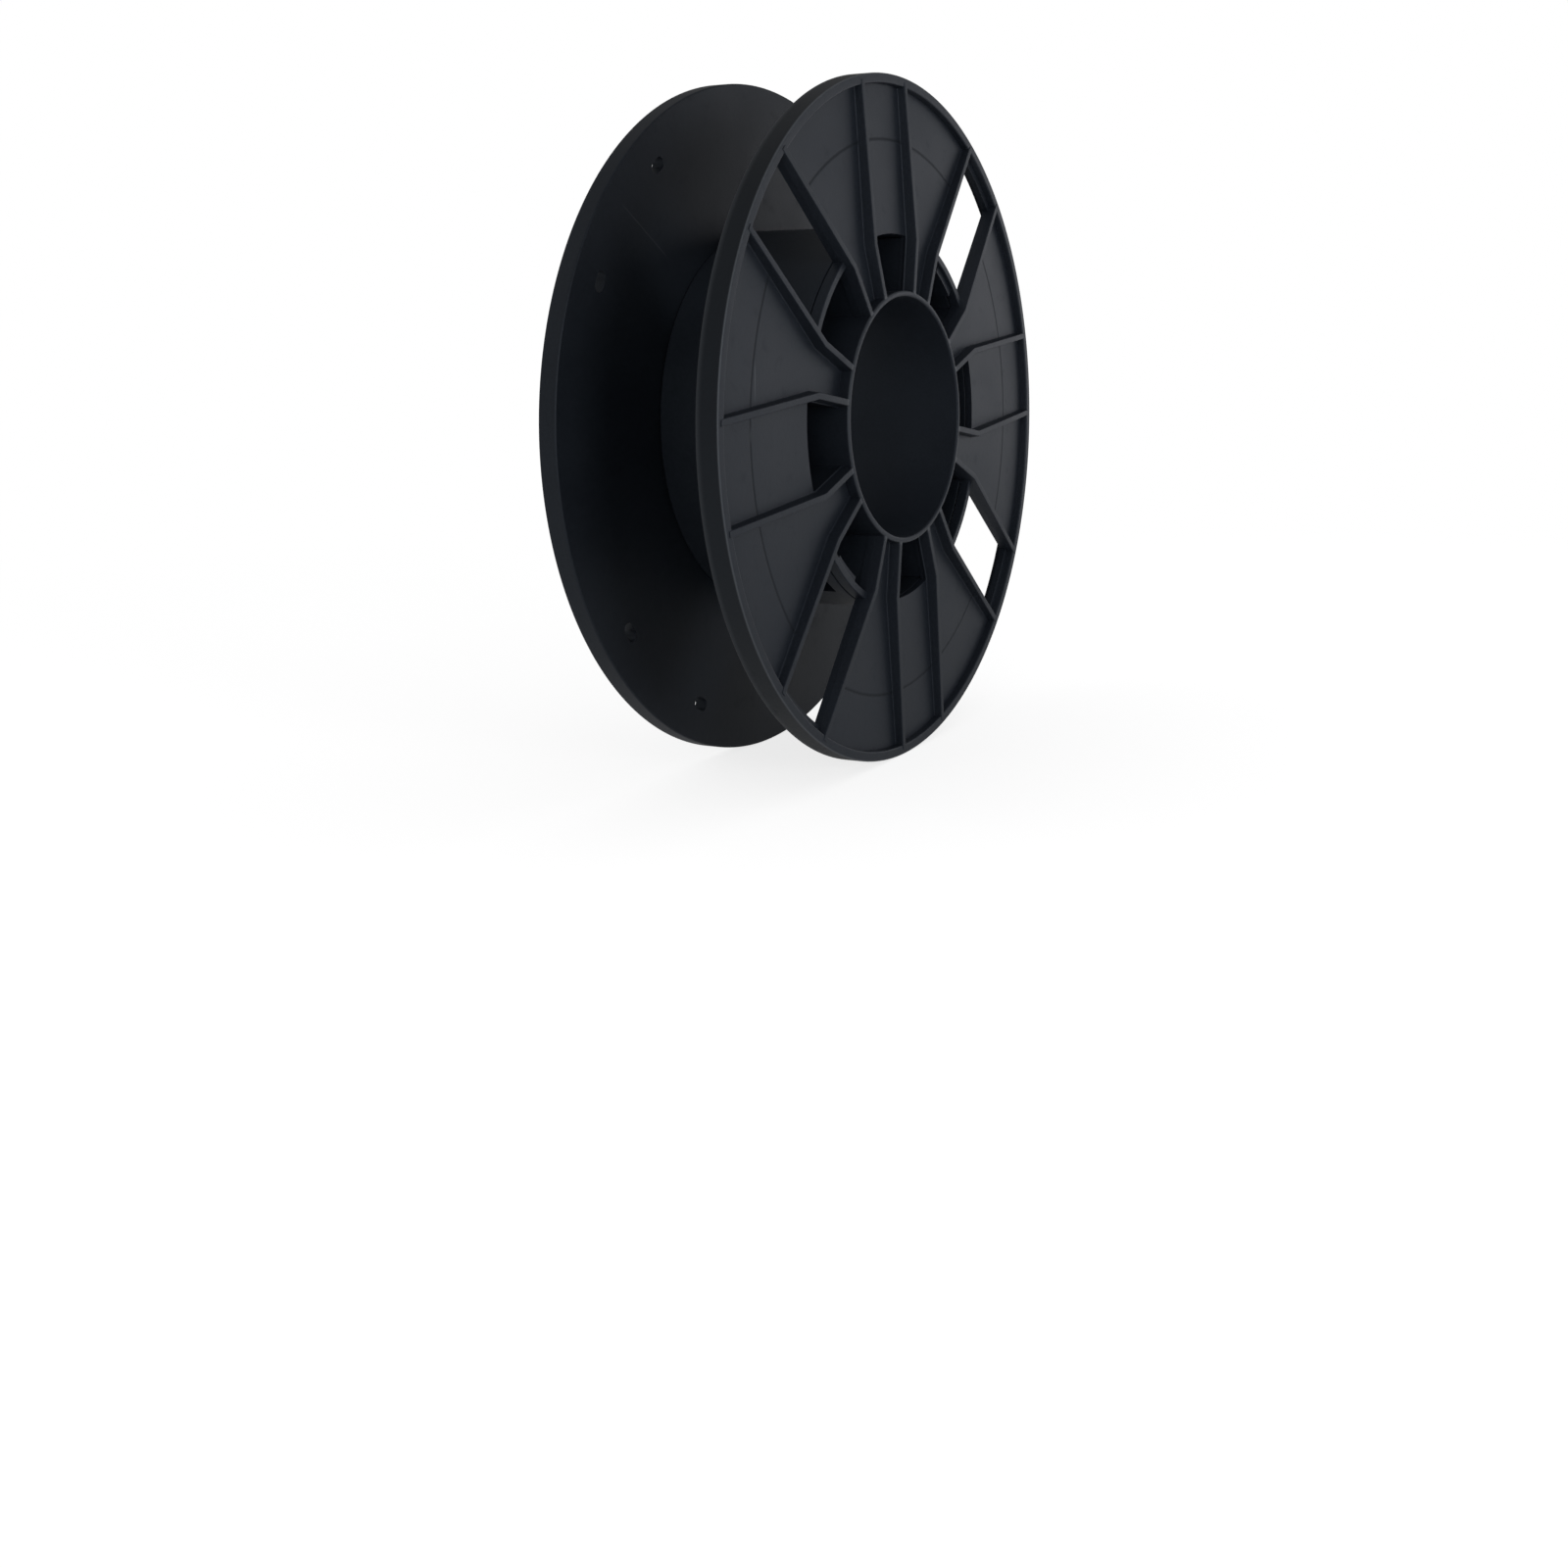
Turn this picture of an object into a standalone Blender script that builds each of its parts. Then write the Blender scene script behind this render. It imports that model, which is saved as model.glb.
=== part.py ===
"""Empty filament reel of three plastic mouldings that press together along one axis.

The ribbed flange carries the bore tube and sixteen centring fins. The hub drum slides over the fins,
and the plain flange closes the far end. Snap tongues on both flanges catch in slots of the drum.
The axis of the reel is Y, the ribbed face looks toward -Y, and +Z is up. Lengths are in metres.
"""
import math

import bmesh
import bpy
from mathutils import Vector

MM = 0.001
DEGREE = math.pi / 180

# Overall sizes
REEL_RADIUS = 100 * MM
REEL_WIDTH = 52.4 * MM
FIT_GAP = 0.3 * MM
CIRCLE_FACETS = 96
EDGE_ROUND = 0.5 * MM
EDGE_STEPS = 2

# Ribbed flange
RIM_DEPTH = 6.5 * MM
RIM_WALL = 2.8 * MM
WEB_RECESS = 2.6 * MM
WEB_THICKNESS = 1.6 * MM
WINDOW_LAND = 2.2 * MM
BORE_RADIUS = 35.5 * MM
TUBE_WALL = 1.7 * MM
HUB_PROUD = 1.2 * MM
PAIR_COUNT = 8
PAIR_TURN = 7.6 * DEGREE
RIB_OFFSET = 13.6 * MM
RIB_WALL = 2.2 * MM
FIN_ANGLE = 14.8 * DEGREE
FIN_ROOT_WALL = 2.0 * MM
FIN_TIP_WALL = 1.6 * MM
FIN_DEPTH = 32 * MM
RING_RECESS = 1 * MM
RING_STEPS = 8
FACE_STEP = 0.1 * MM
LEAST_ARC_STEPS = 2

# Hub drum
DRUM_RADIUS = 56.2 * MM
DRUM_WALL = 2.2 * MM
SLOT_LENGTH = 15 * MM
SLOT_WIDTH = 5 * MM
FRONT_SLOT_EDGE = 3.3 * MM
REAR_SLOT_EDGE = 5.2 * MM

# Snap tongues of both flanges
TONGUE_LENGTH = 12 * MM
TONGUE_WALL = 1.8 * MM
TONGUE_STEPS = 4
BARB_HEIGHT = 1.5 * MM
BARB_FLAT = 0.8 * MM
BARB_RAMP = 2.6 * MM
TONGUE_SLIT = 1.2 * MM
HEEL_STEP = 0.2 * MM

# Plain flange
PLAIN_RIM_DEPTH = 5.3 * MM
PLATE_THICKNESS = 2.2 * MM
BOSS_WALL = 2.0 * MM
COLLAR_HEIGHT = 3.5 * MM
COLLAR_WALL = 1.8 * MM
ANCHOR_INSET = 10.5 * MM
ANCHOR_ANGLE = 13.5 * DEGREE
ANCHOR_WIDTH = 3.8 * MM
ANCHOR_LENGTH = 6.4 * MM
ANCHOR_STEPS = 6
PAD_WIDTH = 8 * MM
PAD_HEIGHT = 1.5 * MM
PAD_REACH = 18 * DEGREE
PAD_STEPS = 10

# Overrun of every cutter past the face that it opens
CUT_OVERRUN = 1 * MM
# Points closer than this are welded, and sharper folds than this stay crisp
WELD_GAP = 0.002 * MM
CRISP_ANGLE = 30 * DEGREE

# Dark slate plastic of the ribbed flange, and the slightly darker one behind it
FLANGE_COLOUR = (0.020, 0.024, 0.030)
FLANGE_ROUGHNESS = 0.42
HUB_COLOUR = (0.016, 0.019, 0.024)
HUB_ROUGHNESS = 0.45

# The bore tube stands out of the ribbed face, and the reel is centred with it
FRONT_Y = (HUB_PROUD - REEL_WIDTH) / 2
HALF_FACET = math.pi / CIRCLE_FACETS
PAIR_STEP = 2 * math.pi / PAIR_COUNT
# The rims' corners stand out so that the flats between them touch the reel's own radius
RIM_CORNER = REEL_RADIUS / math.cos(HALF_FACET)
RIM_MIDDLE = REEL_RADIUS - RIM_WALL / 2
ANCHOR_RADIUS = REEL_RADIUS - ANCHOR_INSET
TUBE_MIDDLE = BORE_RADIUS + TUBE_WALL / 2
DRUM_BORE = DRUM_RADIUS - DRUM_WALL
INSIDE_DRUM = DRUM_BORE - FIT_GAP
PLAIN_FACE = REEL_WIDTH - PLAIN_RIM_DEPTH
WEB_BACK = WEB_RECESS + WEB_THICKNESS
DRUM_FRONT = WEB_BACK + FIT_GAP
DRUM_REAR = PLAIN_FACE - FIT_GAP


def clear_scene():
    for item in list(bpy.data.objects):
        bpy.data.objects.remove(item, do_unlink=True)


def plastic(name, colour, roughness):
    """A moulded plastic with no metal in it."""
    material = bpy.data.materials.new(name)
    material.use_nodes = True
    shader = material.node_tree.nodes["Principled BSDF"]
    shader.inputs["Base Color"].default_value = (*colour, 1)
    shader.inputs["Roughness"].default_value = roughness
    shader.inputs["Metallic"].default_value = 0
    return material


def new_object(name, mesh):
    item = bpy.data.objects.new(name, mesh)
    bpy.context.scene.collection.objects.link(item)
    return item


def from_bmesh(name, shape):
    bmesh.ops.recalc_face_normals(shape, faces=shape.faces)
    mesh = bpy.data.meshes.new(name)
    shape.to_mesh(mesh)
    shape.free()
    return new_object(name, mesh)


def place(radius, depth, angle):
    """A point at a radius from the axis, a depth behind the ribbed face and an angle up from +X."""
    return Vector((radius * math.cos(angle), FRONT_Y + depth, radius * math.sin(angle)))


def turned(name, profile, start=HALF_FACET, sweep=2 * math.pi, steps=CIRCLE_FACETS):
    """A closed (radius, depth) profile turned round the axis: a whole ring, or a capped sector."""
    shape = bmesh.new()
    whole = math.isclose(sweep, 2 * math.pi)
    sections = []
    for i in range(steps if whole else steps + 1):
        angle = start + sweep * i / steps
        sections.append([shape.verts.new(place(radius, depth, angle)) for radius, depth in profile])
    if whole:
        sections.append(sections[0])
    else:
        shape.faces.new(sections[0])
        shape.faces.new(sections[-1])
    for near, far in zip(sections, sections[1:]):
        for i in range(len(profile)):
            shape.faces.new((near[i - 1], near[i], far[i], far[i - 1]))
    return from_bmesh(name, shape)


def extruded(name, outline, near, far):
    """An (x, z) outline carried from one depth to another."""
    shape = bmesh.new()
    face = shape.faces.new([shape.verts.new((x, FRONT_Y + near, z)) for x, z in outline])
    grown = bmesh.ops.extrude_face_region(shape, geom=[face])
    for part in grown["geom"]:
        if isinstance(part, bmesh.types.BMVert):
            part.co.y = FRONT_Y + far
    return from_bmesh(name, shape)


def turned_outline(outline, angle):
    """An (x, z) outline turned about the axis."""
    cosine = math.cos(angle)
    sine = math.sin(angle)
    return [(x * cosine - z * sine, x * sine + z * cosine) for x, z in outline]


def arc(radius, start, end, steps):
    """Points along an arc round the axis, as (x, z)."""
    angles = [start + (end - start) * i / steps for i in range(steps + 1)]
    return [(radius * math.cos(angle), radius * math.sin(angle)) for angle in angles]


def combine(base, others, operation):
    """Joins all the others to the base, or cuts them out of it, in one step, and clears them away."""
    group = bpy.data.collections.new(operation.title())
    for other in others:
        group.objects.link(other)
    change = base.modifiers.new(operation.title(), "BOOLEAN")
    change.operation = operation
    change.solver = "EXACT"
    change.operand_type = "COLLECTION"
    change.collection = group
    shape = base.evaluated_get(bpy.context.evaluated_depsgraph_get())
    mesh = bpy.data.meshes.new_from_object(shape)
    base.modifiers.clear()
    base.data = mesh
    for other in others:
        bpy.data.objects.remove(other, do_unlink=True)
    bpy.data.collections.remove(group)
    return base


def finish(item, name, material):
    """Names a moulding, welds what the cuts left doubled, and shades its round sides smooth."""
    item.name = name
    item.data.name = name
    shape = bmesh.new()
    shape.from_mesh(item.data)
    bmesh.ops.remove_doubles(shape, verts=shape.verts, dist=WELD_GAP)
    bmesh.ops.dissolve_degenerate(shape, edges=shape.edges, dist=WELD_GAP)
    shape.to_mesh(item.data)
    shape.free()
    item.data.materials.clear()
    item.data.materials.append(material)
    item.data.shade_smooth()
    item.data.set_sharp_from_angle(angle=CRISP_ANGLE)
    return item


def edge_round(radius, depth, into_radius, into_depth):
    """Points round the corner of a profile at (radius, depth), from the radial side to the other."""
    points = []
    for i in range(EDGE_STEPS + 1):
        turn = math.pi / 2 * i / EDGE_STEPS
        points.append((radius + into_radius * EDGE_ROUND * (1 - math.sin(turn)),
                       depth + into_depth * EDGE_ROUND * (1 - math.cos(turn))))
    return points


def pair_angles():
    """Angles of the lines midway between the two ribs of each pair."""
    return [PAIR_TURN + PAIR_STEP * k for k in range(PAIR_COUNT)]


def window_angles():
    """Every second pair, on the diagonals, has its web cut out."""
    return pair_angles()[1::2]


def snap_angles():
    """Two opposite windows have a snap tongue below them."""
    return window_angles()[::2]


def mirrored(outline):
    return [(x, -z) for x, z in outline]


def rib_stations():
    """Both sides of a rib at the bore tube, at its bend and at the rim, as (x, z).

    It leaves the tube along a radial line and goes on parallel to the line midway in its pair.
    """
    bend = RIB_OFFSET / math.tan(FIN_ANGLE)
    stations = [[], [], []]
    for half in (RIB_WALL / 2, -RIB_WALL / 2):
        offset = RIB_OFFSET + half
        stations[0].append((TUBE_MIDDLE * math.cos(FIN_ANGLE) - half * math.sin(FIN_ANGLE),
                            TUBE_MIDDLE * math.sin(FIN_ANGLE) + half * math.cos(FIN_ANGLE)))
        stations[1].append((bend - half * math.tan(FIN_ANGLE / 2), offset))
        stations[2].append((math.sqrt(RIM_MIDDLE ** 2 - offset ** 2), offset))
    return stations


def rib(name, stations, angle):
    """A rib whose free edge slopes from the proud end of the bore tube down to the rim's face."""
    shape = bmesh.new()
    sections = []
    for station in stations:
        share = (RIM_MIDDLE - math.hypot(*station[0])) / (RIM_MIDDLE - TUBE_MIDDLE)
        front = FACE_STEP - HUB_PROUD * share
        ends = [[shape.verts.new((x, FRONT_Y + depth, z)) for x, z in turned_outline(station, angle)]
                for depth in (front, WEB_BACK - FACE_STEP)]
        sections.append(ends[0] + ends[1][::-1])
    for near, far in zip(sections, sections[1:]):
        for i in range(len(near)):
            shape.faces.new((near[i - 1], near[i], far[i], far[i - 1]))
    shape.faces.new(sections[0])
    shape.faces.new(sections[-1])
    bmesh.ops.triangulate(shape, faces=shape.faces)
    return from_bmesh(name, shape)


def fin(name, angle):
    """A centring fin that gets thinner toward its far end."""
    start = WEB_RECESS + WEB_THICKNESS / 2
    shape = bmesh.new()
    rings = []
    for depth, wall in ((start, FIN_ROOT_WALL), (FIN_DEPTH, FIN_TIP_WALL)):
        outline = [(TUBE_MIDDLE, wall / 2), (TUBE_MIDDLE, -wall / 2),
                   (INSIDE_DRUM, -wall / 2), (INSIDE_DRUM, wall / 2)]
        ring = [shape.verts.new((x, FRONT_Y + depth, z)) for x, z in turned_outline(outline, angle)]
        shape.faces.new(ring)
        rings.append([shape.edges.get((ring[i - 1], ring[i])) for i in range(len(ring))])
    bmesh.ops.bridge_loops(shape, edges=rings[0] + rings[1])
    return from_bmesh(name, shape)


def opening_outline(outer):
    """The web between the two ribs of a pair, open from the tube out to the outer radius."""
    bend = RIB_OFFSET / math.tan(FIN_ANGLE)
    side = [(BORE_RADIUS * math.cos(FIN_ANGLE), BORE_RADIUS * math.sin(FIN_ANGLE))]
    reach = FIN_ANGLE
    if outer * math.sin(FIN_ANGLE) > RIB_OFFSET:
        side.append((bend, RIB_OFFSET))
        reach = math.asin(RIB_OFFSET / outer)
    steps = max(LEAST_ARC_STEPS, round(reach / HALF_FACET))
    return side + arc(outer, reach, -reach, steps) + mirrored(side)[::-1]


def snap_tongue(angle, heel, catch, direction):
    """A springy finger inside the drum, with a barb that reaches out into a slot of the drum.

    The heel holds the profile's points where the finger leaves its flange, from the inner side on.
    The finger grows in the direction given, and its barb catches the slot's edge at the depth catch.
    """
    outer = INSIDE_DRUM
    flat = catch + direction * BARB_FLAT
    tip = flat + direction * BARB_RAMP
    profile = heel + [(outer, catch), (outer + BARB_HEIGHT, catch), (outer + BARB_HEIGHT, flat),
                      (outer, tip), (outer - TONGUE_WALL, tip)]
    half = TONGUE_LENGTH / 2 / outer
    return turned("tongue", profile, angle - half, 2 * half, TONGUE_STEPS)


def ribbed_flange(material):
    """Rim, web with its openings, ribs, fins, bore tube and two snap tongues, moulded as one."""
    rim = ([(REEL_RADIUS - RIM_WALL, RIM_DEPTH), (REEL_RADIUS - RIM_WALL, 0)]
           + edge_round(RIM_CORNER, 0, -1, 1)
           + edge_round(RIM_CORNER, RIM_DEPTH, -1, -1)[::-1])
    web = [(TUBE_MIDDLE, WEB_BACK), (TUBE_MIDDLE, WEB_RECESS),
           (RIM_MIDDLE, WEB_RECESS), (RIM_MIDDLE, WEB_BACK)]
    tube = [(BORE_RADIUS, REEL_WIDTH), (BORE_RADIUS, -HUB_PROUD),
            (BORE_RADIUS + TUBE_WALL, -HUB_PROUD), (BORE_RADIUS + TUBE_WALL, REEL_WIDTH)]
    cuts = []
    for index, angle in enumerate(pair_angles()):
        outer = REEL_RADIUS - RIM_WALL - WINDOW_LAND if index % 2 else DRUM_BORE
        outline = turned_outline(opening_outline(outer), angle)
        cuts.append(extruded("opening", outline, WEB_RECESS - CUT_OVERRUN, WEB_BACK + CUT_OVERRUN))
    disc = combine(turned("web", web), cuts, "DIFFERENCE")
    pieces = [turned("rim", rim), turned("tube", tube)]
    for angle in pair_angles():
        for stations in (rib_stations(), [mirrored(station) for station in rib_stations()]):
            pieces.append(rib("rib", stations, angle))
        for side in (1, -1):
            pieces.append(fin("fin", angle + side * FIN_ANGLE))
    reach = math.asin(RIB_OFFSET / DRUM_RADIUS)
    ring_back = WEB_BACK - 2 * FACE_STEP
    ring = [(DRUM_BORE, ring_back), (DRUM_BORE, RING_RECESS),
            (DRUM_RADIUS, RING_RECESS), (DRUM_RADIUS, ring_back)]
    for angle in window_angles():
        pieces.append(turned("ring", ring, angle - reach, 2 * reach, RING_STEPS))
    heel = [(INSIDE_DRUM - TONGUE_WALL, WEB_RECESS), (DRUM_RADIUS - DRUM_WALL / 2, WEB_RECESS),
            (DRUM_RADIUS - DRUM_WALL / 2, WEB_BACK - HEEL_STEP), (INSIDE_DRUM, WEB_BACK - HEEL_STEP)]
    for angle in snap_angles():
        pieces.append(snap_tongue(angle, heel, DRUM_FRONT + FRONT_SLOT_EDGE + FIT_GAP, 1))
    return finish(combine(disc, pieces, "UNION"), "ribbed_flange", material)


def block(angle, near_radius, far_radius, near, far, length):
    """A straight-sided cutter that points out from the axis at an angle."""
    half = length / 2
    outline = [(near_radius, -half), (far_radius, -half), (far_radius, half), (near_radius, half)]
    return extruded("block", turned_outline(outline, angle), near, far)


def hub_drum(material):
    """The sleeve that the filament is wound on, with two slots near each end."""
    wall = [(DRUM_BORE, DRUM_REAR), (DRUM_BORE, DRUM_FRONT),
            (DRUM_RADIUS, DRUM_FRONT), (DRUM_RADIUS, DRUM_REAR)]
    near_front = DRUM_FRONT + FRONT_SLOT_EDGE
    far_rear = DRUM_REAR - REAR_SLOT_EDGE
    slots = []
    for angle in snap_angles():
        for near in (near_front, far_rear - SLOT_WIDTH):
            slots.append(block(angle, DRUM_BORE - CUT_OVERRUN, DRUM_RADIUS + CUT_OVERRUN,
                               near, near + SLOT_WIDTH, SLOT_LENGTH))
    return finish(combine(turned("drum", wall), slots, "DIFFERENCE"), "hub_drum", material)


def anchor_hole(angle):
    """A rounded hole through the plain flange that holds the filament's end."""
    straight = (ANCHOR_LENGTH - ANCHOR_WIDTH) / 2
    outline = []
    for side in (1, -1):
        for i in range(ANCHOR_STEPS + 1):
            turn = math.pi * i / ANCHOR_STEPS
            outline.append((ANCHOR_RADIUS + side * ANCHOR_WIDTH / 2 * math.cos(turn),
                            side * (straight + ANCHOR_WIDTH / 2 * math.sin(turn))))
    return extruded("hole", turned_outline(outline, angle),
                    PLAIN_FACE - CUT_OVERRUN, PLAIN_FACE + PLATE_THICKNESS + PAD_HEIGHT + CUT_OVERRUN)


def plain_flange(material):
    """A flat plate with a rim, a boss round the bore tube, a collar and two snap tongues."""
    boss_bore = BORE_RADIUS + TUBE_WALL + FIT_GAP
    plate_back = PLAIN_FACE + PLATE_THICKNESS
    collar_inner = INSIDE_DRUM - COLLAR_WALL
    profile = ([(boss_bore, PLAIN_FACE), (collar_inner, PLAIN_FACE),
                (collar_inner, PLAIN_FACE - COLLAR_HEIGHT), (INSIDE_DRUM, PLAIN_FACE - COLLAR_HEIGHT),
                (INSIDE_DRUM, PLAIN_FACE)]
               + edge_round(RIM_CORNER, PLAIN_FACE, -1, 1)
               + edge_round(RIM_CORNER, REEL_WIDTH, -1, -1)[::-1]
               + [(REEL_RADIUS - RIM_WALL, REEL_WIDTH), (REEL_RADIUS - RIM_WALL, plate_back),
                  (boss_bore + BOSS_WALL, plate_back), (boss_bore + BOSS_WALL, REEL_WIDTH),
                  (boss_bore, REEL_WIDTH)])
    pad = [(ANCHOR_RADIUS - PAD_WIDTH / 2, PLAIN_FACE + PLATE_THICKNESS / 2),
           (ANCHOR_RADIUS + PAD_WIDTH / 2, PLAIN_FACE + PLATE_THICKNESS / 2),
           (ANCHOR_RADIUS + PAD_WIDTH / 2, plate_back + PAD_HEIGHT),
           (ANCHOR_RADIUS - PAD_WIDTH / 2, plate_back + PAD_HEIGHT)]
    gap = [(collar_inner - CUT_OVERRUN, PLAIN_FACE), (DRUM_RADIUS, PLAIN_FACE),
           (DRUM_RADIUS, PLAIN_FACE - COLLAR_HEIGHT - CUT_OVERRUN),
           (collar_inner - CUT_OVERRUN, PLAIN_FACE - COLLAR_HEIGHT - CUT_OVERRUN)]
    gap_half = (TONGUE_LENGTH / 2 + TONGUE_SLIT) / INSIDE_DRUM
    cuts = [turned("gap", gap, angle - gap_half, 2 * gap_half, TONGUE_STEPS) for angle in snap_angles()]
    added = []
    for angle in window_angles():
        added.append(turned("pad", pad, angle - PAD_REACH, 2 * PAD_REACH, PAD_STEPS))
        cuts += [anchor_hole(angle + side * ANCHOR_ANGLE) for side in (1, -1)]
    heel_depth = PLAIN_FACE + PLATE_THICKNESS / 2
    heel = [(INSIDE_DRUM - TONGUE_WALL, heel_depth), (INSIDE_DRUM, heel_depth)]
    catch = DRUM_REAR - REAR_SLOT_EDGE - FIT_GAP
    tongues = [snap_tongue(angle, heel, catch, -1) for angle in snap_angles()]
    plate = combine(combine(turned("plate", profile), added, "UNION"), cuts, "DIFFERENCE")
    return finish(combine(plate, tongues, "UNION"), "plain_flange", material)


clear_scene()
ribbed_flange(plastic("ribbed_flange_plastic", FLANGE_COLOUR, FLANGE_ROUGHNESS))
hub_drum(plastic("hub_drum_plastic", HUB_COLOUR, HUB_ROUGHNESS))
plain_flange(plastic("plain_flange_plastic", HUB_COLOUR, HUB_ROUGHNESS))
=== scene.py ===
"""Empty filament spool of three dark plastic mouldings, standing upright on the rims of its flanges."""
import math

import bmesh
import bpy
from mathutils import Matrix, Vector


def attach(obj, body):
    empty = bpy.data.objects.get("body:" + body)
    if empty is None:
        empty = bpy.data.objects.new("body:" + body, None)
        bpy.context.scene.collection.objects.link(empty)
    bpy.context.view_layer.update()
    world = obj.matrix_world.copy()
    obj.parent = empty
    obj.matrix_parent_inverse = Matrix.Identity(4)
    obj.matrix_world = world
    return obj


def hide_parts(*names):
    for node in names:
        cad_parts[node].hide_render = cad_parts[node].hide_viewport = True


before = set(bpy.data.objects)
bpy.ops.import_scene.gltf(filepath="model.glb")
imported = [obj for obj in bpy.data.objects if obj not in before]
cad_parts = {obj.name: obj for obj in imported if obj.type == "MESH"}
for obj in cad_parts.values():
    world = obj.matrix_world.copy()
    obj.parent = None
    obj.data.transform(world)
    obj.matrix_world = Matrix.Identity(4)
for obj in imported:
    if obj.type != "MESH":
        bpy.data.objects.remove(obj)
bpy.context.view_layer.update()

# The ribbed flange is one moulding of dark slate plastic: a rim, a thin web, sixteen ribs in eight pairs,
# the bore tube and sixteen fins that centre the drum. Four of the pairs have an open window between
# their ribs. The drum slides over the fins, and two snap tongues hold it.
MM = 0.001
FRONT_Y = -25.6 * MM
REEL_RADIUS = 100 * MM
REEL_WIDTH = 52.4 * MM
RIM_WALL = 2.8 * MM
RIM_DEPTH = 6.5 * MM
RIM_INSIDE = REEL_RADIUS - RIM_WALL
RIM_MIDDLE = REEL_RADIUS - RIM_WALL / 2
RIM_DRAFT = 0.2 * MM
RIM_ROUND = 0.45 * MM
WEB_FRONT = 2.2 * MM
WEB_BACK = 4.2 * MM
WINDOW_REACH = 95 * MM
BORE_RADIUS = 35.5 * MM
TUBE_WALL = 1.7 * MM
TUBE_OUTSIDE = BORE_RADIUS + TUBE_WALL
TUBE_MIDDLE = BORE_RADIUS + TUBE_WALL / 2
TUBE_ROUND = 0.6 * MM
HUB_PROUD = 1.2 * MM
DRUM_RADIUS = 56.2 * MM
DRUM_BORE = 54 * MM
INSIDE_DRUM = 53.7 * MM

# The rib pairs stand 45 degrees apart. Every other pair has a window, and two opposite windows a tongue.
PAIR_TURN = math.radians(7.6)
PAIR_STEP = math.radians(45)
WINDOW_TURN = PAIR_TURN + PAIR_STEP
EVERY_OTHER = 2 * PAIR_STEP
OPPOSITE = 4 * PAIR_STEP

# Facets of a full circle, steps of a rounded corner and of an opening's outer arc, and how far a cutter
# passes the wall that it cuts.
ROUND_FACETS = 240
CORNER_STEPS = 4
ARC_STEPS = 24
CUT_PAST = 1 * MM


def reel_point(radius, depth, turn):
    """A point by its radius, its depth behind the ribbed face, and its turn up from +X."""
    return Vector((radius * math.cos(turn), FRONT_Y + depth, radius * math.sin(turn)))


def as_object(name, shape):
    """A bmesh made into an object, with its normals outward."""
    bmesh.ops.recalc_face_normals(shape, faces=shape.faces)
    mesh = bpy.data.meshes.new(name)
    shape.to_mesh(mesh)
    shape.free()
    piece = bpy.data.objects.new(name, mesh)
    bpy.context.scene.collection.objects.link(piece)
    return piece


def skin(shape, rings):
    """Faces between each ring of points and the next."""
    for near, far in zip(rings, rings[1:]):
        for i in range(len(near)):
            shape.faces.new((near[i - 1], near[i], far[i], far[i - 1]))


def turned(name, profile, half=math.pi, facets=ROUND_FACETS):
    """A closed (radius, depth) profile carried round the axis, all the way or as a sector with ends."""
    shape = bmesh.new()
    whole = half == math.pi
    rings = []
    for i in range(facets if whole else facets + 1):
        turn = -half + 2 * half * i / facets
        rings.append([shape.verts.new(reel_point(radius, depth, turn)) for radius, depth in profile])
    if whole:
        rings.append(rings[0])
    else:
        shape.faces.new(rings[0])
        shape.faces.new(rings[-1])
    skin(shape, rings)
    return as_object(name, shape)


def lofted(name, outlines):
    """A body through outlines of the same number of (x, z) points.

    Each outline comes with its depth, or with a list of one depth for each point.
    """
    shape = bmesh.new()
    rings = []
    for depth, outline in outlines:
        depths = depth if isinstance(depth, list) else [depth] * len(outline)
        rings.append([shape.verts.new((x, FRONT_Y + deep, z)) for (x, z), deep in zip(outline, depths)])
    shape.faces.new(rings[0])
    shape.faces.new(rings[-1])
    skin(shape, rings)
    return as_object(name, shape)


def round_the_axis_tree():
    """Nodes that set copies of one shape round the reel's axis."""
    tree = bpy.data.node_groups.new("round_the_axis", "GeometryNodeTree")
    for name, kind in (("Shape", "Geometry"), ("Copies", "Int"), ("First turn", "Float"),
                       ("Turn between", "Float"), ("Plastic", "Material")):
        tree.interface.new_socket(name, in_out="INPUT", socket_type="NodeSocket" + kind)
    tree.interface.new_socket("Shape", in_out="OUTPUT", socket_type="NodeSocketGeometry")
    taken = tree.nodes.new("NodeGroupInput")
    given = tree.nodes.new("NodeGroupOutput")
    points = tree.nodes.new("GeometryNodePoints")
    index = tree.nodes.new("GeometryNodeInputIndex")
    step = tree.nodes.new("ShaderNodeMath")
    step.operation = "MULTIPLY_ADD"
    turn_back = tree.nodes.new("ShaderNodeMath")
    turn_back.operation = "MULTIPLY"
    turn_back.inputs[1].default_value = -1
    euler = tree.nodes.new("ShaderNodeCombineXYZ")
    copies = tree.nodes.new("GeometryNodeInstanceOnPoints")
    real = tree.nodes.new("GeometryNodeRealizeInstances")
    dress = tree.nodes.new("GeometryNodeSetMaterial")
    link = tree.links.new
    link(taken.outputs["Copies"], points.inputs["Count"])
    link(index.outputs[0], step.inputs[0])
    link(taken.outputs["Turn between"], step.inputs[1])
    link(taken.outputs["First turn"], step.inputs[2])
    link(step.outputs[0], turn_back.inputs[0])
    link(turn_back.outputs[0], euler.inputs["Y"])
    link(points.outputs[0], copies.inputs["Points"])
    link(taken.outputs["Shape"], copies.inputs["Instance"])
    link(euler.outputs[0], copies.inputs["Rotation"])
    link(copies.outputs[0], real.inputs[0])
    link(real.outputs[0], dress.inputs["Geometry"])
    link(taken.outputs["Plastic"], dress.inputs["Material"])
    link(dress.outputs[0], given.inputs[0])
    return tree


ROUND_THE_AXIS = round_the_axis_tree()


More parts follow.
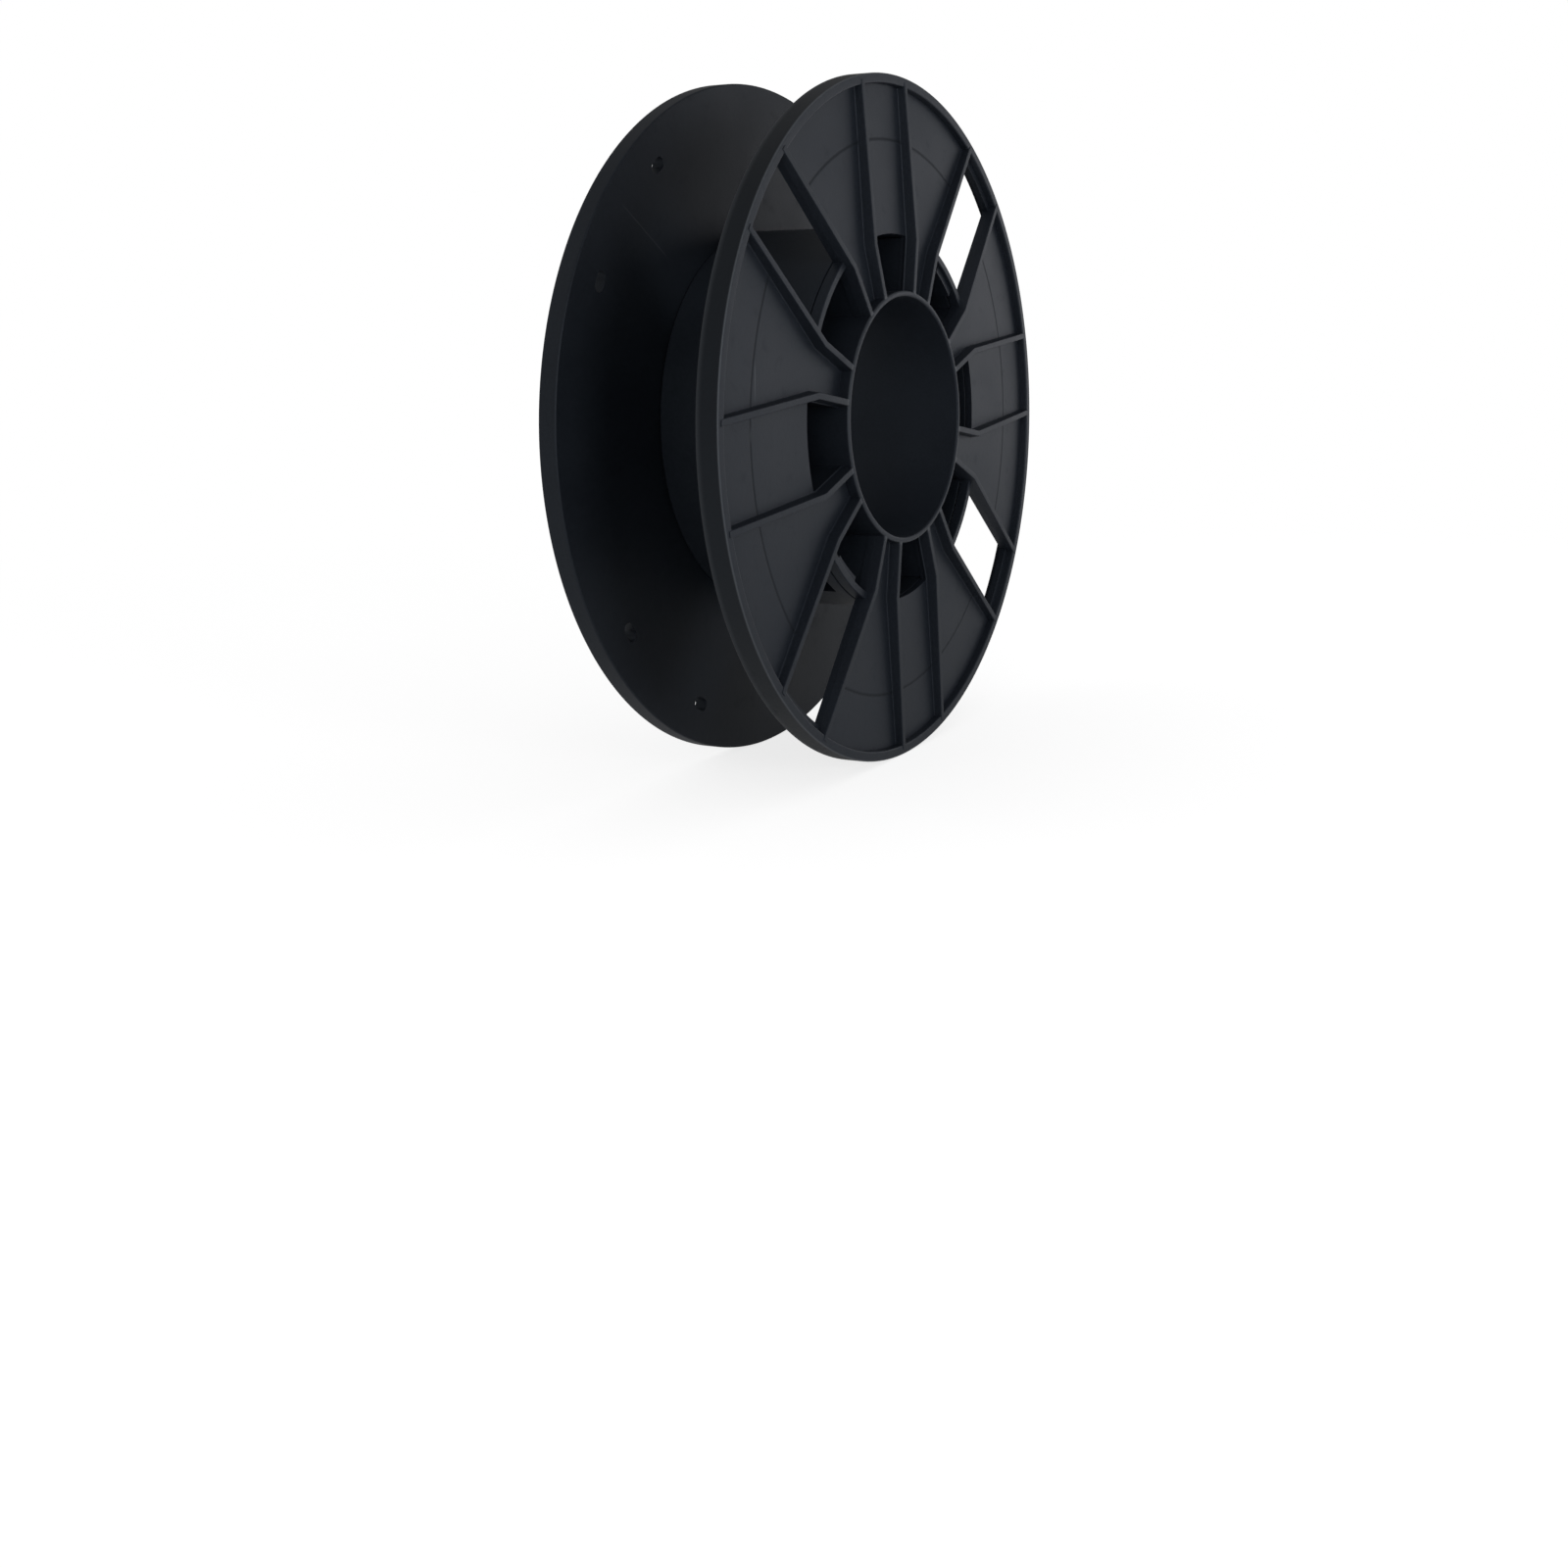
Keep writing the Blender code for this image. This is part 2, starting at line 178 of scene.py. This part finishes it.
def settled(piece):
    """Turns what the modifiers of a piece make into its own plain mesh."""
    view = bpy.context.evaluated_depsgraph_get()
    mesh = bpy.data.meshes.new_from_object(piece.evaluated_get(view), depsgraph=view)
    piece.modifiers.clear()
    piece.data = mesh
    return piece


def round_the_axis(piece, copies, first_turn, turn_between):
    """Sets copies of a piece round the axis and leaves them as one plain mesh.

    The tree's Plastic stays empty, because a moulding gets its plastic when it is whole.
    """
    change = piece.modifiers.new("round_the_axis", "NODES")
    change.node_group = ROUND_THE_AXIS
    given = {"Copies": copies, "First turn": first_turn, "Turn between": turn_between}
    for socket in ROUND_THE_AXIS.interface.items_tree:
        if socket.name in given:
            change[socket.identifier] = given[socket.name]
    return settled(piece)


def moulded(base, others, operation):
    """Joins other shapes to a base, or cuts them out of it, in one step."""
    group = bpy.data.collections.new("tool")
    for other in others:
        group.objects.link(other)
    change = base.modifiers.new("mould", "BOOLEAN")
    change.operation = operation
    change.solver = "EXACT"
    change.operand_type = "COLLECTION"
    change.collection = group
    settled(base)
    for other in others:
        bpy.data.objects.remove(other, do_unlink=True)
    bpy.data.collections.remove(group)
    return base


def finished(piece, name):
    """Names a moulding and shades its flat faces flat and its round ones round."""
    piece.name = name
    piece.data.name = name
    piece.data.shade_smooth()
    piece.data.set_sharp_from_angle(angle=math.radians(35))
    flatten = piece.modifiers.new("flat faces", "WEIGHTED_NORMAL")
    flatten.keep_sharp = True
    return settled(piece)


def softened(profile, radius, corners):
    """A profile with the corners of the given numbers rounded off."""
    points = []
    for i, corner in enumerate(profile):
        if i not in corners:
            points.append(corner)
            continue
        here = Vector(corner)
        before = (Vector(profile[i - 1]) - here).normalized() * radius
        after = (Vector(profile[(i + 1) % len(profile)]) - here).normalized() * radius
        for k in range(CORNER_STEPS + 1):
            share = math.pi / 2 * k / CORNER_STEPS
            points.append(tuple(here + before * (1 - math.sin(share)) + after * (1 - math.cos(share))))
    return points


# The rim has a slight draft inside, and the bore tube runs through the whole reel. The web between
# them is cut behind every pair of ribs, as far as the drum or, at a window, nearly to the rim.
RIB_OFFSET = 13.6 * MM
FIN_TURN = math.radians(14.8)

rim = turned("rim", softened([(RIM_INSIDE, RIM_DEPTH), (RIM_INSIDE - RIM_DRAFT, WEB_FRONT), (RIM_INSIDE, 0),
                              (REEL_RADIUS, 0), (REEL_RADIUS, RIM_DEPTH)], RIM_ROUND, (0, 2, 3, 4)))
tube = turned("tube", softened([(BORE_RADIUS, REEL_WIDTH), (BORE_RADIUS, -HUB_PROUD),
                                (TUBE_OUTSIDE, -HUB_PROUD), (TUBE_OUTSIDE, REEL_WIDTH)],
                               TUBE_ROUND, (0, 1, 2, 3)))
web = turned("web", [(TUBE_MIDDLE, WEB_BACK), (TUBE_MIDDLE, WEB_FRONT),
                     (RIM_MIDDLE, WEB_FRONT), (RIM_MIDDLE, WEB_BACK)])


def opening(outer):
    """The gap in the web between the two ribs of a pair, from the tube out to a radius."""
    side = [(BORE_RADIUS * math.cos(FIN_TURN), BORE_RADIUS * math.sin(FIN_TURN)),
            (RIB_OFFSET / math.tan(FIN_TURN), RIB_OFFSET)]
    reach = math.asin(RIB_OFFSET / outer)
    turns = [reach + (-reach - reach) * i / ARC_STEPS for i in range(ARC_STEPS + 1)]
    far_end = [(outer * math.cos(turn), outer * math.sin(turn)) for turn in turns]
    outline = side + far_end + [(x, -z) for x, z in side[::-1]]
    return lofted("opening", [(WEB_FRONT - CUT_PAST, outline), (WEB_BACK + CUT_PAST, outline)])


closed_openings = round_the_axis(opening(DRUM_BORE), 4, PAIR_TURN, EVERY_OTHER)
windows = round_the_axis(opening(WINDOW_REACH), 4, WINDOW_TURN, EVERY_OTHER)
moulded(web, [closed_openings, windows], "DIFFERENCE")

# A rib is a little wider at its foot than at its free edge. The edge stands proud of the rim, least at
# the rim itself: how far is given at the tube, at the rib's knee and at the rim.
RIB_EDGE = 1.9 * MM
RIB_FOOT = 2.4 * MM
RIB_PROUD = (1.1 * MM, 1.1 * MM, 0.15 * MM)
RIB_ROUND = 0.25 * MM
RIB_FLARE = 0.3 * MM


def rib(side, window):
    """One rib of a pair: from the tube along a radial line, then parallel to the pair's own line.

    Its free edge is rounded and slopes from the tube's proud end to the rim. Its foot flares a little
    into the web, except toward an open window. A layer gives its place on the rib, its depth, and how
    far it swells on the outer side and on the side of the gap.
    """
    layers = [("edge", 0, -RIB_ROUND, -RIB_ROUND), ("edge", 0.07 * MM, -0.1 * MM, -0.1 * MM),
              ("edge", RIB_ROUND, 0, 0)]
    for height in (RIB_FLARE, 0.15 * MM, 0.04 * MM, 0):
        swell = RIB_FLARE - math.sqrt(RIB_FLARE ** 2 - (RIB_FLARE - height) ** 2)
        layers.append(("foot", WEB_FRONT - height, swell, 0 if window else swell))
    layers += [("foot", WEB_FRONT + 0.3 * MM, RIB_FLARE, 0 if window else RIB_FLARE),
               ("foot", WEB_FRONT + 0.6 * MM, 0, 0), ("foot", WEB_BACK - 0.1 * MM, 0, 0)]
    bend = RIB_OFFSET / math.tan(FIN_TURN)
    outlines = []
    for level, depth, swell_out, swell_in in layers:
        wall = RIB_EDGE if level == "edge" else RIB_FOOT
        outline = []
        for across, swell in ((1, swell_out), (-1, swell_in)):
            half = (wall / 2 + swell) * across
            root = (TUBE_MIDDLE * math.cos(FIN_TURN) - half * math.sin(FIN_TURN),
                    TUBE_MIDDLE * math.sin(FIN_TURN) + half * math.cos(FIN_TURN))
            knee = (bend - half * math.tan(FIN_TURN / 2), RIB_OFFSET + half)
            end = (math.sqrt(RIM_MIDDLE ** 2 - (RIB_OFFSET + half) ** 2), RIB_OFFSET + half)
            run = [root, knee, end]
            outline += run if across == 1 else run[::-1]
        if level == "edge":
            fronts = [depth - proud for proud in RIB_PROUD]
            depth = fronts + fronts[::-1]
        outlines.append((depth, [(x, z * side) for x, z in outline]))
    return lofted("rib", outlines)


ribs = []
for side in (1, -1):
    ribs.append(round_the_axis(rib(side, False), 4, PAIR_TURN, EVERY_OTHER))
    ribs.append(round_the_axis(rib(side, True), 4, WINDOW_TURN, EVERY_OTHER))

# Inside the drum, a fin runs back from the root of each rib and gets thinner toward its far end. Its
# wall is given at two depths.
FIN_WALLS = ((3.4 * MM, 2.0 * MM), (32 * MM, 1.6 * MM))


def fin(side):
    """A flat plate from the bore tube out to the drum's inside."""
    c, s = math.cos(FIN_TURN * side), math.sin(FIN_TURN * side)
    layers = []
    for depth, wall in FIN_WALLS:
        half = wall / 2
        outline = [(TUBE_MIDDLE, -half), (INSIDE_DRUM, -half), (INSIDE_DRUM, half), (TUBE_MIDDLE, half)]
        layers.append((depth, [(x * c - z * s, x * s + z * c) for x, z in outline]))
    return lofted("fin", layers)


fins = [round_the_axis(fin(side), 8, PAIR_TURN, PAIR_STEP) for side in (1, -1)]

# An arc in front of the drum's end joins the two ribs at each window.
RING_FRONT = 1 * MM
RING_BACK = 4 * MM
ring = turned("ring", softened([(DRUM_BORE, RING_BACK), (DRUM_BORE, RING_FRONT), (DRUM_RADIUS, RING_FRONT),
                                (DRUM_RADIUS, RING_BACK)], 0.3 * MM, (1, 2)),
              half=math.asin(RIB_OFFSET / DRUM_RADIUS), facets=20)
rings = round_the_axis(ring, 4, WINDOW_TURN, EVERY_OTHER)

# The tongues of both flanges have the same finger and barb. The barb's catch holds the slot's edge,
# and its ramp bends the finger inward as the drum comes on.
TONGUE_WALL = 1.8 * MM
TONGUE_HALF = 6 * MM
BARB_REACH = 1.5 * MM
BARB_FLAT = 0.8 * MM
BARB_RAMP = 2.6 * MM
TONGUE_FOOT = 55.1 * MM
FRONT_CATCH = 8.1 * MM
REAR_CATCH = 41.3 * MM


def tongue(heel, catch, away):
    """A springy finger inside the drum with a barb that stands out into a slot of the drum."""
    flat = catch + away * BARB_FLAT
    tip = flat + away * BARB_RAMP
    barb = INSIDE_DRUM + BARB_REACH
    profile = heel + [(INSIDE_DRUM, catch), (barb, catch), (barb, flat), (INSIDE_DRUM, tip),
                      (INSIDE_DRUM - TONGUE_WALL, tip)]
    return turned("tongue", profile, half=TONGUE_HALF / INSIDE_DRUM, facets=8)


front_heel = [(INSIDE_DRUM - TONGUE_WALL, WEB_FRONT), (TONGUE_FOOT, WEB_FRONT), (TONGUE_FOOT, 4 * MM),
              (INSIDE_DRUM, 4 * MM)]
front_tongues = round_the_axis(tongue(front_heel, FRONT_CATCH, 1), 2, WINDOW_TURN, OPPOSITE)
ribbed_flange = finished(moulded(web, [rim, tube, *ribs, *fins, rings, front_tongues], "UNION"),
                         "ribbed_flange_moulding")


class Wire:
    """One output in a material's nodes, which Python arithmetic can use."""

    def __init__(self, recipe, socket):
        self.recipe = recipe
        self.socket = socket

    def math(self, operation, *others):
        """What one Math node makes of the wire and the others."""
        return self.recipe.node("ShaderNodeMath", {"operation": operation}, dict(enumerate((self, *others))))

    def __add__(self, other):
        return self.math("ADD", other)

    def __mul__(self, other):
        return self.math("MULTIPLY", other)

    def __sub__(self, other):
        return self.math("SUBTRACT", other)

    def near(self, value, reach):
        """1 where the wire is at a value, falling to 0 at a distance of reach from it."""
        gap = (self - value).math("ABSOLUTE")
        return self.recipe.ramp(gap, 0, reach, 1, 0)


class Recipe:
    """A material made of shader nodes that read the place on the object."""

    def __init__(self, name):
        self.material = bpy.data.materials.new(name)
        self.material.use_nodes = True
        self.nodes = self.material.node_tree.nodes
        self.links = self.material.node_tree.links
        self.shader = self.nodes["Principled BSDF"]
        self.place = Wire(self, self.nodes.new("ShaderNodeTexCoord").outputs["Object"])

    def node(self, kind, settings, values, output=0):
        """Adds a node and sets it. Its inputs, by name or number, get plain values or wires."""
        made = self.nodes.new(kind)
        for key, value in settings.items():
            setattr(made, key, value)
        for key, value in values.items():
            if isinstance(value, Wire):
                self.links.new(value.socket, made.inputs[key])
            else:
                made.inputs[key].default_value = value
        return Wire(self, made.outputs[output])

    def ramp(self, value, low, high, at_low, at_high):
        """A smooth change between two levels."""
        return self.node("ShaderNodeMapRange", {"interpolation_type": "SMOOTHSTEP"},
                         {"Value": value, "From Min": low, "From Max": high,
                          "To Min": at_low, "To Max": at_high})

    def grain(self, scale, detail, roughness=0.5):
        """Noise with features of about 1 / scale metres."""
        return self.node("ShaderNodeTexNoise", {}, {"Vector": self.place, "Scale": scale,
                                                    "Detail": detail, "Roughness": roughness})

    def mix(self, share, first, second):
        """A blend of two colours, which are wires or plain ones."""
        first, second = (value if isinstance(value, Wire) else (*value, 1) for value in (first, second))
        return self.node("ShaderNodeMix", {"data_type": "RGBA"}, {0: share, 6: first, 7: second}, output=2)

    def axes(self):
        """The three coordinates of the place, as wires."""
        split = self.node("ShaderNodeSeparateXYZ", {}, {0: self.place})
        return [Wire(self, output) for output in split.socket.node.outputs]

    def feed(self, name, value):
        """Links a wire to an input of the plastic's own shader."""
        self.links.new(value.socket, self.shader.inputs[name])


def slate_plastic(name, base, mottle, roughness, marks=None):
    """Dark moulded plastic: a fine satin grain, cloudy gloss, and faint marks given by a function."""
    recipe = Recipe(name)
    fine = recipe.grain(1500, 2)
    cloud = recipe.grain(38, 3)
    rub = recipe.ramp(recipe.grain(170, 4, 0.62), 0.56, 0.72, 0, 1)
    tone = recipe.ramp(fine * 0.55 + cloud * 0.45, 0.36, 0.64, 0, 1)
    colour = recipe.mix(tone, base, mottle)
    polish = cloud * 0.16 + fine * 0.10 + rub * 0.05 + (roughness - 0.14)
    height = fine * 0.35 + recipe.grain(600, 2) * 0.65
    if marks:
        colour, polish, height = marks(recipe, colour, polish, height)
    bump = recipe.node("ShaderNodeBump", {}, {"Strength": 0.55, "Distance": 0.06 * MM, "Height": height})
    recipe.feed("Base Color", colour)
    recipe.feed("Roughness", polish)
    recipe.feed("Normal", bump)
    recipe.shader.inputs["IOR"].default_value = 1.45
    recipe.shader.inputs["Specular IOR Level"].default_value = 0.4
    recipe.shader.inputs["Specular Tint"].default_value = (0.80, 0.89, 1, 1)
    return recipe.material


# Painted highlights on lit edges, and real scuffs, are a paler grey than the rest; painted shade in a fine
# groove and on the rim's outer band is a deeper one.
SCUFF_AND_HIGHLIGHT_GREY = (0.120, 0.130, 0.145)
PAINTED_SHADE_GREY = (0.003, 0.004, 0.005)


def flange_marks(recipe, colour, polish, height):
    """The faint circle that the mould's insert leaves on the web, with painted shade in its groove, two
    streaks, and painted highlights on the rim's edges and on the tube's front edge.

    The rim's outer band is painted a little darker than the ribbed face, as painted shade.
    """
    x, y, z = recipe.axes()
    radius = (x * x + z * z).math("SQRT")
    on_web = y.near(FRONT_Y + WEB_FRONT, 0.4 * MM)
    circle = ((x + 0.9 * MM) * (x + 0.9 * MM) + z * z).math("SQRT")
    line = circle.near(81.3 * MM, 0.75 * MM) * on_web
    long_streak = x.near(-79.8 * MM, 0.45 * MM) * z.near(10.6 * MM, 7.5 * MM)
    short_streak = x.near(-81.9 * MM, 0.45 * MM) * z.near(-2.8 * MM, 3 * MM)
    streaks = (long_streak + short_streak) * on_web
    # Painted highlights: the rim's front and rear edges and the tube's front edge are painted paler, as where
    # they catch the lamps.
    rim_edge_highlight = radius.near(REEL_RADIUS, 0.55 * MM) * y.near(FRONT_Y, 0.55 * MM)
    back_edge_highlight = radius.near(REEL_RADIUS, 0.7 * MM) * y.near(FRONT_Y + RIM_DEPTH, 1.9 * MM)
    tube_edge_highlight = radius.near(TUBE_OUTSIDE, 1 * MM) * y.near(FRONT_Y - HUB_PROUD, 0.7 * MM)
    # Painted shade: the rim's outer band is painted darker, as where it faces away from the lamps.
    band = radius.near(REEL_RADIUS, 0.3 * MM)
    # rub adds these painted edge highlights to the streaks, which are real scuffs.
    rub = rim_edge_highlight + back_edge_highlight * 0.3 + tube_edge_highlight * 0.35 + streaks * 0.35
    # The circle is a real groove; its darker colour is painted shade in it.
    colour = recipe.mix(line * 0.6, colour, PAINTED_SHADE_GREY)
    colour = recipe.mix(band * 0.7, colour, PAINTED_SHADE_GREY)
    colour = recipe.mix(rub, colour, SCUFF_AND_HIGHLIGHT_GREY)
    return colour, polish + line * 0.15 - rub * 0.14, height - line * 1.6


def dressed(piece, plastic, body, node):
    """Gives a moulding its plastic and its body, and hides the imported part of the node that it stands for.
    """
    piece.data.materials.clear()
    piece.data.materials.append(plastic)
    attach(piece, body)
    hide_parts(node)


flange_plastic = slate_plastic("ribbed_flange_slate", (0.0130, 0.0165, 0.0235), (0.0172, 0.0215, 0.0300), 0.5,
                               flange_marks)
dressed(ribbed_flange, flange_plastic, "ribbed_flange", "ribbed_flange")

# The hub drum is a thin sleeve of the same dark plastic, which the filament is wound on. It slides over
# the fins of the ribbed flange. Two slots near each end take the barbs of the snap tongues.
DRUM_FRONT = 4.5 * MM
DRUM_REAR = 46.8 * MM
SLOT_FRONTS = (7.8 * MM, 36.6 * MM)
SLOT_WIDTH = 5 * MM
SLOT_HALF = 15 * MM / 2
SLOT_INNER = 50 * MM
SLOT_OUTER = 60 * MM

drum = turned("drum", softened([(DRUM_BORE, DRUM_REAR), (DRUM_BORE, DRUM_FRONT), (DRUM_RADIUS, DRUM_FRONT),
                                (DRUM_RADIUS, DRUM_REAR)], 0.25 * MM, (0, 1, 2, 3)))
slot_outline = [(SLOT_INNER, -SLOT_HALF), (SLOT_OUTER, -SLOT_HALF), (SLOT_OUTER, SLOT_HALF),
                (SLOT_INNER, SLOT_HALF)]
slots = []
for slot_front in SLOT_FRONTS:
    slot_cutter = lofted("slot", [(slot_front, slot_outline), (slot_front + SLOT_WIDTH, slot_outline)])
    slots.append(round_the_axis(slot_cutter, 2, WINDOW_TURN, OPPOSITE))
hub_drum = finished(moulded(drum, slots, "DIFFERENCE"), "hub_drum_sleeve")
drum_plastic = slate_plastic("hub_drum_black", (0.0125, 0.0160, 0.0225), (0.0170, 0.0215, 0.0290), 0.52)
dressed(hub_drum, drum_plastic, "hub_drum", "hub_drum")

# The plain flange is a flat plate of the same dark plastic with a rim turned back behind it. A low collar
# and two snap tongues reach into the drum, and a boss fits round the bore tube. Four pairs of anchor
# holes hold the end of the filament, and a raised pad behind runs from one hole of a pair to the other.
PLAIN_FACE = 47.1 * MM
PLATE_MIDDLE = 48.2 * MM
PLATE_BACK = 49.3 * MM
BOSS_BORE = 37.5 * MM
BOSS_OUTSIDE = 39.5 * MM
COLLAR_BORE = 51.9 * MM
COLLAR_FRONT = 43.6 * MM
COLLAR_GAP_HALF = 7.2 * MM
PAD_BACK = 50.8 * MM
PAD_HALF = 4 * MM
PAD_TURN = math.radians(18)
ANCHOR_RADIUS = 89.5 * MM
ANCHOR_TURN = math.radians(13.5)
HOLE_ROUND = 1.75 * MM
HOLE_STRAIGHT = 1.25 * MM
HOLE_STEPS = 12

plate_profile = [(BOSS_BORE, PLAIN_FACE), (COLLAR_BORE, PLAIN_FACE), (COLLAR_BORE, COLLAR_FRONT),
                 (INSIDE_DRUM, COLLAR_FRONT), (INSIDE_DRUM, PLAIN_FACE), (REEL_RADIUS, PLAIN_FACE),
                 (REEL_RADIUS, REEL_WIDTH), (RIM_INSIDE, REEL_WIDTH), (RIM_INSIDE, PLATE_BACK),
                 (BOSS_OUTSIDE, PLATE_BACK), (BOSS_OUTSIDE, REEL_WIDTH), (BOSS_BORE, REEL_WIDTH)]
plate = turned("plate", softened(plate_profile, RIM_ROUND, (2, 3, 5, 6, 7, 10, 11)))
gap_outline = [(50.9 * MM, PLAIN_FACE), (DRUM_RADIUS, PLAIN_FACE), (DRUM_RADIUS, 42.6 * MM),
               (50.9 * MM, 42.6 * MM)]
collar_gap = turned("gap", gap_outline, half=COLLAR_GAP_HALF / INSIDE_DRUM, facets=8)
collar_gaps = round_the_axis(collar_gap, 2, WINDOW_TURN, OPPOSITE)
pad_profile = [(ANCHOR_RADIUS - PAD_HALF, PLATE_MIDDLE), (ANCHOR_RADIUS + PAD_HALF, PLATE_MIDDLE),
               (ANCHOR_RADIUS + PAD_HALF, PAD_BACK), (ANCHOR_RADIUS - PAD_HALF, PAD_BACK)]
pad = turned("pad", softened(pad_profile, 0.4 * MM, (2, 3)), half=PAD_TURN, facets=36)
pads = round_the_axis(pad, 4, WINDOW_TURN, EVERY_OTHER)


def anchor_hole():
    """A hole a little longer along the rim than across it."""
    outline = []
    for side in (1, -1):
        for i in range(HOLE_STEPS + 1):
            turn = math.pi * i / HOLE_STEPS
            outline.append((ANCHOR_RADIUS + side * HOLE_ROUND * math.cos(turn),
                            side * (HOLE_STRAIGHT + HOLE_ROUND * math.sin(turn))))
    return lofted("hole", [(45.6 * MM, outline), (52 * MM, outline)])


holes = [round_the_axis(anchor_hole(), 4, WINDOW_TURN + side * ANCHOR_TURN, EVERY_OTHER) for side in (1, -1)]
rear_heel = [(INSIDE_DRUM - TONGUE_WALL, PLATE_MIDDLE), (INSIDE_DRUM, PLATE_MIDDLE)]
rear_tongues = round_the_axis(tongue(rear_heel, REAR_CATCH, -1), 2, WINDOW_TURN, OPPOSITE)
moulded(plate, [pads], "UNION")
moulded(plate, [collar_gaps, *holes], "DIFFERENCE")
plain_flange = finished(moulded(plate, [rear_tongues], "UNION"), "plain_flange_moulding")


def plate_marks(recipe, colour, polish, height):
    """One long faint scratch on the plate, and a painted highlight on the rear edge of its rim."""
    x, y, z = recipe.axes()
    along = (x + 73.3 * MM) * 0.851 - (z - 57.8 * MM) * 0.525
    across = (x + 73.3 * MM) * 0.525 + (z - 57.8 * MM) * 0.851
    reach = recipe.ramp(along, 0, 4 * MM, 0, 1) * recipe.ramp(along, 22 * MM, 26 * MM, 1, 0)
    scratch = across.near(0, 0.3 * MM) * reach * y.near(FRONT_Y + PLAIN_FACE, 0.4 * MM)
    radius = (x * x + z * z).math("SQRT")
    # Painted highlight: the rim's rear edge is painted paler, as where it catches the lamp behind; rub adds
    # it to the real scratch.
    rear_edge_highlight = radius.near(REEL_RADIUS, 0.6 * MM) * y.near(FRONT_Y + REEL_WIDTH, 0.6 * MM)
    rub = scratch * 0.25 + rear_edge_highlight * 0.5
    return recipe.mix(rub, colour, SCUFF_AND_HIGHLIGHT_GREY), polish - rub * 0.14, height


plain_plastic = slate_plastic("plain_flange_black", (0.0095, 0.0120, 0.0172), (0.0130, 0.0165, 0.0225), 0.5,
                              plate_marks)
dressed(plain_flange, plain_plastic, "plain_flange", "plain_flange")

# The camera stands low and close on the left of the spool, where the photograph was taken from.
camera_data = bpy.data.cameras.new("camera")
camera_data.lens = 36.29
camera_data.sensor_width = 36
camera_data.shift_x = -0.1574
camera_data.shift_y = -0.2443
camera = bpy.data.objects.new("camera", camera_data)
bpy.context.scene.collection.objects.link(camera)
eye = (-0.4208, -0.2329, 0.0111)
look = Vector((0.9292, 0.3692, -0.0138)).normalized()
up = Vector((0.0128, 0.0051, 0.9999))
right = look.cross(up).normalized()
up = right.cross(look)
camera.matrix_world = Matrix.Translation(eye) @ Matrix((right, up, -look)).transposed().to_4x4()
bpy.context.scene.camera = camera

# A white floor that keeps the spool's soft shadow. Away from the spool the camera sees it as plain
# white, and the plastic's gloss sees a little of its glow.
floor_shape = bmesh.new()
bmesh.ops.create_grid(floor_shape, x_segments=1, y_segments=1, size=12)
for point in floor_shape.verts:
    point.co.z = -REEL_RADIUS - 0.2 * MM
floor = as_object("floor", floor_shape)
paint = Recipe("white_floor")
paint.shader.inputs["Base Color"].default_value = (0.8, 0.8, 0.8, 1)
paint.shader.inputs["Roughness"].default_value = 0.9
seen = paint.node("ShaderNodeLightPath", {}, {}, "Is Camera Ray")
mirrored = Wire(paint, seen.socket.node.outputs["Is Glossy Ray"])
glow = paint.node("ShaderNodeEmission", {}, {"Color": (1, 1, 1, 1), "Strength": seen * 0.76 + mirrored * 0.2})
lit = paint.node("ShaderNodeAddShader", {}, {0: Wire(paint, paint.shader.outputs[0]), 1: glow})
distance = paint.node("ShaderNodeVectorMath", {"operation": "LENGTH"}, {0: paint.place}, "Value")
far_away = paint.ramp(distance, 0.22, 0.75, 0, 1)
white = paint.node("ShaderNodeEmission", {}, {"Color": (1, 1, 1, 1)})
surface = paint.node("ShaderNodeMixShader", {}, {0: far_away * seen, 1: lit, 2: white})
paint.links.new(surface.socket, paint.nodes["Material Output"].inputs["Surface"])
floor.data.materials.append(paint.material)

# The world is white to the camera and a dim even light to everything else.
world = bpy.data.worlds.new("studio")
bpy.context.scene.world = world
world.use_nodes = True
nodes, links = world.node_tree.nodes, world.node_tree.links
backdrop = nodes["Background"]
backdrop.inputs["Color"].default_value = (1, 1, 1, 1)
path = nodes.new("ShaderNodeLightPath")
level = nodes.new("ShaderNodeMapRange")
level.inputs["To Min"].default_value = 0.24
level.inputs["To Max"].default_value = 1
links.new(path.outputs["Is Camera Ray"], level.inputs["Value"])
links.new(level.outputs[0], backdrop.inputs["Strength"])


def soft_box(name, place, width, height, power, colour=(1, 1, 1)):
    """A large soft lamp that faces the spool."""
    lamp = bpy.data.lights.new(name, "AREA")
    lamp.shape = "RECTANGLE"
    lamp.size = width
    lamp.size_y = height
    lamp.energy = power
    lamp.color = colour
    item = bpy.data.objects.new(name, lamp)
    item.location = place
    item.rotation_euler = (-Vector(place)).to_track_quat("-Z", "Y").to_euler()
    bpy.context.scene.collection.objects.link(item)


soft_box("right_front", (1.03, -0.46, 0.13), 0.8, 0.42, 1.0, (0.97, 0.96, 1))
soft_box("left_front", (-0.42, -1.04, 0.12), 0.35, 0.35, 2.2)
soft_box("left", (-1.06, -0.38, 0.22), 0.3, 0.3, 1.0)
soft_box("left_behind", (-0.45, 0.95, 0.45), 0.3, 0.7, 0.5)
soft_box("overhead", (0.1, -0.05, 1.1), 0.8, 0.8, 0.15)

bpy.context.scene.view_settings.view_transform = "Standard"
